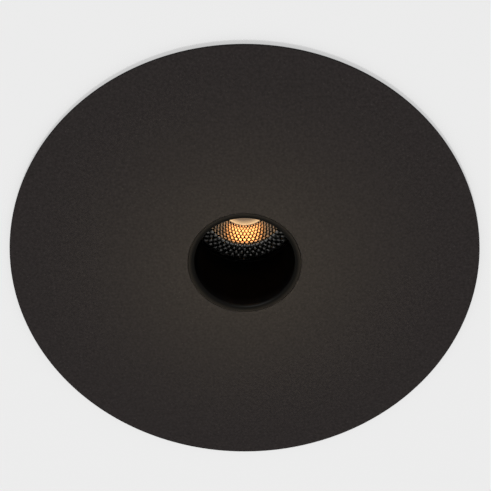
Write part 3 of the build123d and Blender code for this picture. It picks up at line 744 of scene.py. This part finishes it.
class DOWNLIGHT_OT_lamp_housing(Operator):
    """Cast housing that carries the optics, the heat sink and the clips"""
    bl_idname = "downlight.lamp_housing"
    bl_label = "Lamp housing"

    def execute(self, context):
        dress(finish("black_casting"), "lamp_housing")
        return {"FINISHED"}


class DOWNLIGHT_OT_light_well(Operator):
    """Black baffle, flat glass lens and its silicone seal"""
    bl_idname = "downlight.light_well"
    bl_label = "Light well"

    def execute(self, context):
        well = context.scene.downlight.well
        dress(finish("black_baffle", well), "baffle")
        dress(finish("clear_glass"), "lens")
        radius, bottom, top = node_levels("lens_seal")
        bm = lathe([
            (well.optic, bottom, well.soft_edge),
            (radius, bottom, well.soft_edge),
            (radius, top, well.soft_edge),
            (well.optic, top, well.soft_edge),
            (well.optic, top - well.lip, well.soft_edge),
            (well.groove, top - well.lip),
            (well.groove, bottom + well.lip),
            (well.optic, bottom + well.lip, well.soft_edge),
        ], LENS_STEPS, segments=3)
        piece("lens_seal", bm, "black_silicone")
        return {"FINISHED"}


class DOWNLIGHT_OT_reflector(Operator):
    """Metallised reflector with rows of swelling diamond facets"""
    bl_idname = "downlight.reflector"
    bl_label = "Reflector"

    def execute(self, context):
        reflector = context.scene.downlight.reflector
        bm = facet_sector(reflector)
        copy_round(bm, reflector.facets)
        bmesh.ops.remove_doubles(bm, verts=bm.verts, dist=WELD)
        self.add_back(bm, reflector)
        bmesh.ops.recalc_face_normals(bm, faces=bm.faces)
        piece("reflector", bm, "metallised_reflector", reflector, even=False)
        return {"FINISHED"}

    def add_back(self, bm, reflector):
        """Carry the facets' outer edge round the rim and the cone's back to the throat."""
        rim, _, throat = node_levels("reflector")
        front = reflector_front(reflector)
        shelf_top = front - reflector.gap + reflector.shelf
        rim_top = shelf_top + reflector.rim
        edges = [edge for edge in bm.edges if edge.is_boundary]
        inner = [edge for edge in edges if edge.verts[0].co.xy.length < reflector.bend]
        ring = [edge for edge in edges if edge.verts[0].co.xy.length > reflector.bend]
        for radius, height in (
            (reflector.step, front),
            (reflector.step, shelf_top),
            (rim, shelf_top),
            (rim, rim_top),
            (cone_radius(reflector, rim_top) + reflector.wall, rim_top),
            (reflector.throat + reflector.wall, throat),
        ):
            ring = carry(bm, ring, radius, height)
        bmesh.ops.bridge_loops(bm, edges=ring + inner)


def reflector_front(reflector):
    """Level of the flat border, from the throat down the cone."""
    return node_levels("reflector")[2] - (reflector.bend - reflector.throat) * tan(reflector.slope)


def cone_radius(reflector, height):
    """Radius of the cone's face at a level."""
    return reflector.bend - (height - reflector_front(reflector)) / tan(reflector.slope)


def facet_row(reflector, row):
    """Radius and level of a row of facet corners, counted from the throat."""
    if row < reflector.cone_rows:
        radius = reflector.throat + (reflector.bend - reflector.throat) * row / reflector.cone_rows
        rise = (reflector.bend - radius) * tan(reflector.slope)
    else:
        share = (row - reflector.cone_rows) / reflector.border_rows
        radius = reflector.bend + (reflector.outer - reflector.bend) * share
        rise = 0.0
    return radius, reflector_front(reflector) + rise


def facet_sector(reflector):
    """One facet of each row, swollen and leaning, with half facets at both ends of the chain."""
    bm = bmesh.new()
    chart = bm.loops.layers.uv.new("facet")
    ranks = bm.faces.layers.int.new("row")
    rows = reflector.cone_rows + reflector.border_rows
    for row in range(rows + 1):
        turn = row % 2 / 2
        marks = [((row - 1, turn + 0.5), (0, 0)), ((row, turn), (1, 0)),
                 ((row + 1, turn + 0.5), (1, 1)), ((row, turn + 1), (0, 1))]
        marks = [(place, mark) for place, mark in marks if 0 <= place[0] <= rows]
        face = bm.faces.new([bm.verts.new(facet_corner(reflector, *place)) for place, _ in marks])
        face[ranks] = row
        for loop, (_, mark) in zip(face.loops, marks):
            loop[chart].uv = mark
    for edge in bm.edges:
        edge.smooth = False
    bmesh.ops.subdivide_edges(bm, edges=bm.edges, cuts=reflector.cuts, use_grid_fill=True)
    spots, feet, steps = {}, {}, []
    for face in bm.faces:
        for loop in face.loops:
            mark, onward = loop[chart].uv, loop.link_loop_next[chart].uv
            outward, sideways = mark.x + mark.y - 1, mark.x - mark.y
            spots[loop.vert] = face[ranks], outward, 1 - outward ** 2 - sideways ** 2
            if min(mark.x, onward.x) > 1 - ROUND_OFF or min(mark.y, onward.y) > 1 - ROUND_OFF:
                steps.append(loop.edge)
    for foot in only(BMVert, bmesh.ops.extrude_edge_only(bm, edges=steps)["geom"]):
        heads = (edge.other_vert(foot) for edge in foot.link_edges)
        row, outward, dome = next(spots[head] for head in heads if head in spots and head.co == foot.co)
        feet[foot] = row + 1, outward - 1, dome
    for vert, spot in (spots | feet).items():
        vert.co += facing(reflector, vert.co) * facet_rise(reflector, vert.co, *spot)
    return bm


def facet_corner(reflector, row, turn):
    """Place of a facet's corner: its row, counted from the throat, and its turn in facets."""
    radius, level = facet_row(reflector, row)
    bearing = 2 * pi * turn / reflector.facets
    return radius * cos(bearing), radius * sin(bearing), level


def facet_rise(reflector, place, row, outward, dome):
    """How far a facet stands out at a place: its swelling, and on the cone its lean towards the LED."""
    pillow = reflector.cone_pillow if row <= reflector.cone_rows else reflector.pillow
    rise = pillow * dome * throat_share(reflector, place)
    if row < reflector.cone_rows or (row == reflector.cone_rows and outward < 0):
        way = (place.xy.length - reflector.throat) / (reflector.bend - reflector.throat)
        lean = reflector.throat_lean + (reflector.bend_lean - reflector.throat_lean) * way
        step = outward * row_width(reflector) / cos(reflector.slope) * tan(lean)
        rise += step if outward > 0 else step * throat_share(reflector, place)
    return rise


def row_width(reflector):
    """Width of a row of facets on the cone, measured across."""
    return (reflector.bend - reflector.throat) / reflector.cone_rows


def cone_share(reflector, place):
    """How far a place belongs to the cone: 1 on it, 0 on the border, smooth over the bend."""
    share = (reflector.bend + row_width(reflector) - place.xy.length) / (2 * row_width(reflector))
    return min(max(share, 0.0), 1.0)


def throat_share(reflector, place):
    """How far the facets swell: nothing at the throat's edge, fully from one row away."""
    return min((place.xy.length - reflector.throat) / row_width(reflector), 1.0)


def facing(reflector, place):
    """Direction in which the reflector's face looks, turning over smoothly at the bend."""
    slope = reflector.slope * cone_share(reflector, place)
    inward = -place.xy.normalized()
    return Vector((inward.x * sin(slope), inward.y * sin(slope), -cos(slope)))


def carry(bm, ring, radius, height):
    """Extrude a ring of edges to another radius and level about Z, and return the new ring."""
    made = bmesh.ops.extrude_edge_only(bm, edges=ring)["geom"]
    for vert in only(BMVert, made):
        reach = vert.co.xy.normalized() * radius
        vert.co = (reach.x, reach.y, height)
    return [edge for edge in only(BMEdge, made) if edge.is_boundary]


class DOWNLIGHT_OT_led(Operator):
    """LED package, its clamp and screws"""
    bl_idname = "downlight.led"
    bl_label = "LED"

    def execute(self, context):
        lamp = context.scene.downlight.lamp
        dress(finish("led_phosphor", lamp), "led_emitter")
        dress(finish("lit_nylon", lamp), "led_clamp")
        dress(finish("copper_board"), "led_board")
        dress(finish("grey_silicone"), "thermal_pad")
        dress(finish("stainless_steel"), "led_clamp_screws")
        return {"FINISHED"}


def ring_seal(node, turn=Matrix.Identity(4)):
    """Round-edged ring in place of a CAD seal, which lies square to Z or is turned from there."""
    wall, rounding = RINGS[node]
    low, high = (turn.inverted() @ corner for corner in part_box(node))
    outer = abs(high.x - low.x) / 2
    bottom, top = sorted((low.z, high.z))
    bm = lathe(ring_corners(outer - wall, outer, bottom, top, rounding), SEAL_STEPS, segments=4)
    bmesh.ops.transform(bm, matrix=turn, verts=bm.verts)
    piece(node, bm, "black_silicone")


class DOWNLIGHT_OT_heat_sink(Operator):
    """Finned heat sink with its O-ring and screws"""
    bl_idname = "downlight.heat_sink"
    bl_label = "Heat sink"

    def execute(self, context):
        dress(finish("anodised_aluminium"), "heat_sink")
        dress(finish("stainless_steel"), "heat_sink_screws")
        ring_seal("heat_sink_o_ring")
        return {"FINISHED"}


class DOWNLIGHT_OT_rear_box(Operator):
    """Wiring box behind the heat sink, with terminal block and leads"""
    bl_idname = "downlight.rear_box"
    bl_label = "Rear wiring box"

    def execute(self, context):
        dress(finish("black_nylon"), "rear_cap")
        dress(finish("stainless_steel"), "rear_cap_screws")
        dress(finish("white_nylon"), "terminal_block")
        dress(finish("zinc_steel"), "terminal_screws")
        dress(finish("black_lead"), "lead_negative")
        dress(finish("red_lead"), "lead_positive")
        ring_seal("rear_cap_gasket")
        return {"FINISHED"}


class DOWNLIGHT_OT_cable_gland(Operator):
    """Cable gland with its seals"""
    bl_idname = "downlight.cable_gland"
    bl_label = "Cable gland"

    def execute(self, context):
        dress(finish("black_nylon"), "gland_body", "gland_nut")
        low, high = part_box("gland_seal")
        turn = Matrix.Translation((0.0, 0.0, (low.z + high.z) / 2)) @ Matrix.Rotation(-pi / 2, 4, "X")
        ring_seal("gland_o_ring", turn)
        ring_seal("gland_seal", turn)
        return {"FINISHED"}


class DOWNLIGHT_OT_spring_clips(Operator):
    """Two folding clips with their springs and rubber pads"""
    bl_idname = "downlight.spring_clips"
    bl_label = "Spring clips"

    def execute(self, context):
        clip = context.scene.downlight.clip
        for body, pin in HINGES.items():
            outward = Matrix.Rotation(0.0 if pin.x > 0 else pi, 4, "Z")
            place = Matrix.Translation(pin) @ outward
            dress(finish("zinc_steel"), f"{body}_bracket", f"{body}_wing")
            dress(finish("stainless_steel"), f"{body}_screws", f"{body}_pin")
            self.add_spring(clip, body, place)
            self.add_pad(clip, body, place)
        return {"FINISHED"}

    def add_spring(self, clip, body, place):
        """Coil round the pin with a leg up the bracket and a leg along the wing."""
        bm = bmesh.new()
        start = Matrix.Translation((-clip.coil, -clip.span, clip.fixed_leg))
        bmesh.ops.create_circle(bm, radius=clip.wire / 2, segments=clip.wire_sides, matrix=start)
        ring = draw_out(bm, bm.edges[:], Vector((0, 0, -clip.fixed_leg)))
        wound = 2 * pi * clip.turns + pi / 2 - clip.rest
        steps = round(clip.turn_steps * wound / (2 * pi))
        ends = {vert for edge in ring for vert in edge.verts}
        coil = bmesh.ops.spin(bm, geom=ring + list(ends), cent=(0, 0, 0), axis=(0, -1, 0), angle=wound,
                              dvec=(0, 2 * clip.span / steps, 0), steps=steps)["geom_last"]
        along = Vector((cos(clip.rest), 0, -sin(clip.rest)))
        draw_out(bm, only(BMEdge, coil), along * clip.moving_leg)
        bmesh.ops.holes_fill(bm, edges=[edge for edge in bm.edges if edge.is_boundary])
        bmesh.ops.recalc_face_normals(bm, faces=bm.faces)
        bmesh.ops.transform(bm, matrix=place, verts=bm.verts)
        spring = piece(f"{body}_spring", bm, "spring_steel", body=None)
        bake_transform(spring)

    def add_pad(self, clip, body, place):
        """Ribbed rubber sleeve on the tip of the wing."""
        bm = bmesh.new()
        bmesh.ops.create_cube(bm, size=1.0)
        size = Vector((clip.pad_end - clip.pad_start, 2 * clip.pad_width, clip.pad_bottom - clip.pad_top))
        middle = Vector(((clip.pad_end + clip.pad_start) / 2, 0, -(clip.pad_bottom + clip.pad_top) / 2))
        bmesh.ops.scale(bm, vec=size, verts=bm.verts)
        bmesh.ops.translate(bm, vec=middle, verts=bm.verts)
        tip = [edge for edge in bm.edges if all(vert.co.x > middle.x for vert in edge.verts)]
        corners = [edge for edge in tip if abs(edge.verts[0].co.z - edge.verts[1].co.z) > WELD]
        soften(bm, corners, clip.pad_tip, segments=6)
        self.add_ribs(bm, clip)
        mouth = [face for face in bm.faces if all(vert.co.x < clip.pad_start + WELD for vert in face.verts)]
        bmesh.ops.inset_region(bm, faces=mouth, thickness=clip.pad_wall)
        push_faces(bm, mouth, (clip.pad_slot, 0, 0))
        bmesh.ops.recalc_face_normals(bm, faces=bm.faces)
        sharp = [edge for edge in bm.edges if edge.is_manifold and edge.calc_face_angle() > PAD_CREASE]
        soften(bm, sharp, clip.pad_edge, segments=3)
        lean = Matrix.Rotation(clip.rest, 4, "Y")
        bmesh.ops.transform(bm, matrix=place @ lean, verts=bm.verts)
        piece(f"{body}_pad", bm, "black_rubber", body=body)

    def add_ribs(self, bm, clip):
        """Raise cross ribs on the pad's lower face."""
        flat_end = clip.pad_end - clip.pad_tip
        pitch = (flat_end - clip.pad_start) / (clip.ribs + 0.5)
        width = pitch / 2
        starts = [clip.pad_start + pitch * rib + width for rib in range(clip.ribs)]
        for start in starts:
            for cut in (start, start + width):
                bmesh.ops.bisect_plane(bm, geom=everything(bm), plane_co=(cut, 0, 0), plane_no=(1, 0, 0))
        for start in starts:
            strip = [face for face in bm.faces if face.normal.z < FACES_DOWN
                     and abs(face.calc_center_median().x - start - width / 2) < width / 4]
            push_faces(bm, strip, (0, 0, -clip.rib))


def push_faces(bm, faces, way):
    """Extrude faces along a straight way and leave none of them behind."""
    made = bmesh.ops.extrude_face_region(bm, geom=faces)["geom"]
    bmesh.ops.translate(bm, vec=way, verts=only(BMVert, made))
    bmesh.ops.delete(bm, geom=faces, context="FACES_ONLY")


def draw_out(bm, ring, way):
    """Extrude a ring of edges along a straight way and return the new ring."""
    made = bmesh.ops.extrude_edge_only(bm, edges=ring)["geom"]
    verts = only(BMVert, made)
    bmesh.ops.translate(bm, vec=way, verts=verts)
    return [edge for edge in only(BMEdge, made) if all(vert in verts for vert in edge.verts)]


class DOWNLIGHT_OT_stage(Operator):
    """Pale ceiling, soft lamps and camera"""
    bl_idname = "downlight.stage"
    bl_label = "Stage"

    def execute(self, context):
        stage = context.scene.downlight.stage
        context.scene.view_settings.view_transform = "Standard"
        self.add_ceiling(stage)
        self.set_world(context.scene, stage)
        self.add_lamps(stage)
        self.add_camera(context.scene, stage)
        return {"FINISHED"}

    def add_ceiling(self, stage):
        """Disc with a cut-out, seen only from below, so that the lamp shows from above."""
        bm = bmesh.new()
        bmesh.ops.create_circle(bm, radius=stage.cutout, segments=CEILING_STEPS)
        carry(bm, bm.edges[:], stage.ceiling, 0.0)
        bmesh.ops.recalc_face_normals(bm, faces=bm.faces)
        if bm.faces[:][0].normal.z > 0:
            bmesh.ops.reverse_faces(bm, faces=bm.faces)
        ceiling = mesh_object("ceiling", bm, self.ceiling_paint(stage))

    def ceiling_paint(self, stage):
        """Matt pale paint on the lower side; the upper side lets everything through."""
        pale = (stage.pale,) * 3
        paint = Finish("ceiling_paint", roughness=0.9, specular=0.0)
        paint.paint(pale)
        plain = paint.add("ShaderNodeEmission", {"Color": rgba(pale)}).outputs[0]
        seen = paint.add("ShaderNodeLightPath").outputs["Is Camera Ray"]
        share = paint.between(seen, 0.0, 1.0, to_high=stage.plain)
        front = paint.add("ShaderNodeMixShader", {0: share, 1: paint.shader.outputs[0], 2: plain}).outputs[0]
        back = paint.add("ShaderNodeNewGeometry").outputs["Backfacing"]
        clear = paint.add("ShaderNodeBsdfTransparent").outputs[0]
        side = paint.add("ShaderNodeMixShader", {0: back, 1: front, 2: clear}).outputs[0]
        paint.feed(paint.tree.nodes["Material Output"].inputs["Surface"], side)
        return paint.material

    def set_world(self, scene, stage):
        """Even light; the camera sees a pale backdrop, and gloss and glass a dim room below it."""
        scene.world = bpy.data.worlds.new("soft_room")
        scene.world.use_nodes = True
        world = Nodes(scene.world.node_tree)
        path = world.add("ShaderNodeLightPath").outputs
        way = world.add("ShaderNodeTexCoord").outputs["Generated"]
        height = world.add("ShaderNodeSeparateXYZ", {0: way}).outputs["Z"]
        steep = world.add("ShaderNodeMath", {0: height}, operation="ABSOLUTE").outputs[0]
        room = world.tree.nodes["Background"]
        world.feed(room.inputs["Color"], world.between(steep, *SKY_SPAN, stage.horizon, stage.ambient))
        below = world.between(path["Is Transmission Ray"], 0.0, 1.0, stage.dim, stage.glint)
        mirrored = world.between(height, -HORIZON_BLUR, 0.0, below, stage.pale)
        seen = path["Is Camera Ray"]
        level = world.add("ShaderNodeMix", {"Factor": seen, "A": mirrored, "B": stage.pale}).outputs[0]
        backdrop = world.add("ShaderNodeBackground", {"Color": level}).outputs[0]
        for ray in ("Is Glossy Ray", "Is Transmission Ray"):
            seen = world.add("ShaderNodeMath", {0: seen, 1: path[ray]}, operation="MAXIMUM").outputs[0]
        chosen = world.add("ShaderNodeMixShader", {0: seen, 1: room.outputs[0], 2: backdrop}).outputs[0]
        world.feed(world.tree.nodes["World Output"].inputs["Surface"], chosen)

    def add_lamps(self, stage):
        """Soft lamps below and above, a window that only gloss and glass show, and a pool of light."""
        for name, (place, width, power) in SOFT_LAMPS.items():
            light = bpy.data.lights.new(name, "AREA")
            light.size = width
            light.energy = getattr(stage, power)
            lamp = self.hang(light, place, mirrored=name == "window" or place[2] > 0)
            lamp.visible_diffuse = name != "window"
        pool = bpy.data.lights.new("pool", "SPOT")
        pool.color = stage.pool
        pool.spot_size = POOL_SPREAD
        pool.spot_blend = 1.0
        pool.shadow_soft_size = POOL_SOFTNESS
        pool.energy = stage.pool_power
        self.hang(pool, POOL_PLACE, mirrored=False)

    def hang(self, light, place, mirrored):
        """Put a lamp at a place, turned to the middle of the plate, and say whether mirrors show it."""
        lamp = bpy.data.objects.new(light.name, light)
        lamp.location = place
        lamp.rotation_euler = (-Vector(place)).to_track_quat("-Z", "Y").to_euler()
        lamp.visible_glossy = mirrored
        lamp.visible_transmission = mirrored
        bpy.context.scene.collection.objects.link(lamp)
        return lamp

    def add_camera(self, scene, stage):
        """Camera below the plate, leaning back from its normal."""
        data = bpy.data.cameras.new("camera")
        data.lens = stage.lens
        data.sensor_width = FRAME_WIDTH
        data.clip_start = NEAREST
        camera = bpy.data.objects.new("camera", data)
        back = Vector((0, -sin(stage.tilt), -cos(stage.tilt)))
        up = Vector((0, -cos(stage.tilt), sin(stage.tilt)))
        across = up.cross(back)
        turn = Matrix((across, up, back)).transposed().to_4x4()
        camera.matrix_world = Matrix.Translation(Vector(stage.aim) + back * stage.distance) @ turn
        scene.collection.objects.link(camera)
        scene.camera = camera


OPERATORS = (
    DOWNLIGHT_OT_cover_plate,
    DOWNLIGHT_OT_ceiling_gasket,
    DOWNLIGHT_OT_plate_fixings,
    DOWNLIGHT_OT_lamp_housing,
    DOWNLIGHT_OT_light_well,
    DOWNLIGHT_OT_reflector,
    DOWNLIGHT_OT_led,
    DOWNLIGHT_OT_heat_sink,
    DOWNLIGHT_OT_rear_box,
    DOWNLIGHT_OT_cable_gland,
    DOWNLIGHT_OT_spring_clips,
    DOWNLIGHT_OT_stage,
)


class DOWNLIGHT_PT_panel(Panel):
    """Pieces of the downlight and their settings"""
    bl_idname = "DOWNLIGHT_PT_panel"
    bl_label = "Recessed downlight"
    bl_space_type = "VIEW_3D"
    bl_region_type = "UI"
    bl_category = "Downlight"

    def draw(self, context):
        settings = context.scene.downlight
        for name in DownlightSettings.__annotations__:
            group = getattr(settings, name)
            box = self.layout.box()
            box.label(text=name.capitalize())
            for field in type(group).__annotations__:
                box.prop(group, field)
        for operator in OPERATORS:
            self.layout.operator(operator.bl_idname)


CLASSES = (PlateSettings, WellSettings, ReflectorSettings, LampSettings, ClipSettings, StageSettings,
           DownlightSettings, *OPERATORS, DOWNLIGHT_PT_panel)


def register():
    for each in CLASSES:
        bpy.utils.register_class(each)
    bpy.types.Scene.downlight = PointerProperty(type=DownlightSettings)


def unregister():
    del bpy.types.Scene.downlight
    for each in reversed(CLASSES):
        bpy.utils.unregister_class(each)


def main():
    register()
    bpy.ops.downlight.cover_plate()
    bpy.ops.downlight.ceiling_gasket()
    bpy.ops.downlight.plate_fixings()
    bpy.ops.downlight.lamp_housing()
    bpy.ops.downlight.light_well()
    bpy.ops.downlight.reflector()
    bpy.ops.downlight.led()
    bpy.ops.downlight.heat_sink()
    bpy.ops.downlight.rear_box()
    bpy.ops.downlight.cable_gland()
    bpy.ops.downlight.spring_clips()
    bpy.ops.downlight.stage()


if __name__ == "__main__":
    main()
